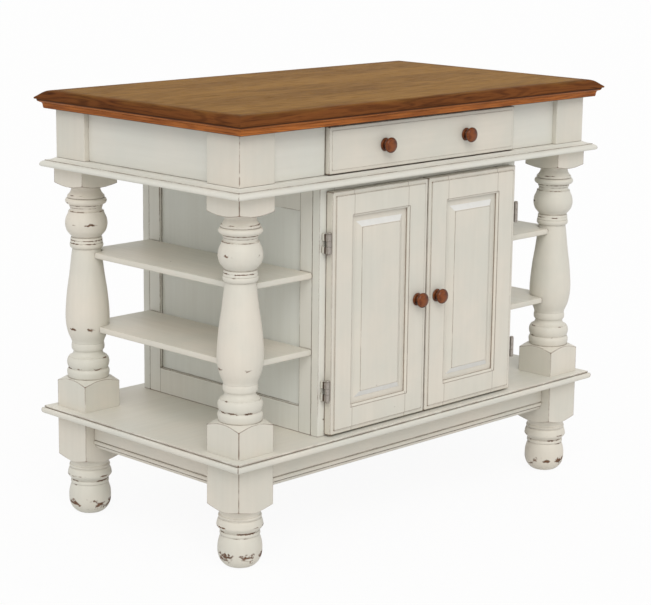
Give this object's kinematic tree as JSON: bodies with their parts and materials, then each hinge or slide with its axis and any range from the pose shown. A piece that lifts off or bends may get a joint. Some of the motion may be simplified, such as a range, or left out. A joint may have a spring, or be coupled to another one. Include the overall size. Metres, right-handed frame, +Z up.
{
  "type": "kitchen island",
  "caption": "Free-standing kitchen island with a moulded oak top, turned corner posts and feet, a drawer, a two-door cupboard and open end shelves.",
  "frame": {"origin": "on the floor, under the middle of the worktop", "axes": "+X along the door side to the right as seen from the front, +Y from the doors to the back, +Z up"},
  "size_m": [1.12, 0.635, 0.9144],
  "materials": {
    "antique_white": "antique white paint, satin, rubbed through at the arrises with brown glaze in the quirks",
    "oak_field": "golden brown stained oak, satin lacquer, grain along X",
    "oak_edge": "dark brown stained oak, satin lacquer, grain along each side",
    "cherry_knob": "reddish brown stained wood, gloss lacquer",
    "aged_bronze": "dark antique plating",
    "bare_wood": "clear sealed pale wood"
  },
  "bodies": {
    "carcass": {"apron_block_back_left": "antique_white", "apron_block_back_right": "antique_white", "apron_block_front_left": "antique_white", "apron_block_front_right": "antique_white", "apron_rail_back": "antique_white", "apron_rail_front": "antique_white", "apron_rail_left": "antique_white", "apron_rail_right": "antique_white", "base_rail_back": "antique_white", "base_rail_front": "antique_white", "base_rail_left": "antique_white", "base_rail_right": "antique_white", "cabinet_back_frame": "antique_white", "cabinet_back_panel": "antique_white", "cabinet_shelf": "bare_wood", "cabinet_side_frame_left": "antique_white", "cabinet_side_frame_right": "antique_white", "cabinet_side_panel_left": "antique_white", "cabinet_side_panel_right": "antique_white", "deck": "antique_white", "drawer_runner_left": "bare_wood", "drawer_runner_right": "bare_wood", "end_shelf_left_lower": "antique_white", "end_shelf_left_upper": "antique_white", "end_shelf_right_lower": "antique_white", "end_shelf_right_upper": "antique_white", "face_frame": "antique_white", "foot_back_left": "antique_white", "foot_back_right": "antique_white", "foot_front_left": "antique_white", "foot_front_right": "antique_white", "hinge_left_bottom_frame_leaf": "aged_bronze", "hinge_left_top_frame_leaf": "aged_bronze", "hinge_right_bottom_frame_leaf": "aged_bronze", "hinge_right_top_frame_leaf": "aged_bronze", "ledge": "antique_white", "post_back_left": "antique_white", "post_back_right": "antique_white", "post_front_left": "antique_white", "post_front_right": "antique_white", "top_board": "oak_field", "top_edge": "oak_edge", "top_under_moulding": "oak_edge"},
    "door_left": {"door_frame_left": "antique_white", "door_panel_left": "antique_white", "door_knob_left": "cherry_knob", "hinge_left_top_door_leaf": "aged_bronze", "hinge_left_bottom_door_leaf": "aged_bronze"},
    "door_right": {"door_frame_right": "antique_white", "door_panel_right": "antique_white", "door_knob_right": "cherry_knob", "hinge_right_top_door_leaf": "aged_bronze", "hinge_right_bottom_door_leaf": "aged_bronze"},
    "drawer": {"drawer_front": "antique_white", "drawer_side_left": "bare_wood", "drawer_side_right": "bare_wood", "drawer_bottom": "bare_wood", "drawer_back": "bare_wood", "drawer_knob_left": "cherry_knob", "drawer_knob_right": "cherry_knob"}
  },
  "joints": [
    {"name": "door_left_hinge", "type": "hinge", "parent": "carcass", "child": "door_left", "pos_m": [-0.2927, -0.289, 0.486], "axis": [0, 0, -1], "range_deg": [0, 110]},
    {"name": "door_right_hinge", "type": "hinge", "parent": "carcass", "child": "door_right", "pos_m": [0.2927, -0.289, 0.486], "axis": [0, 0, 1], "range_deg": [0, 110]},
    {"name": "drawer_slide", "type": "slide", "parent": "carcass", "child": "drawer", "axis": [0, -1, 0], "range_m": [0, 0.33]}
  ]
}
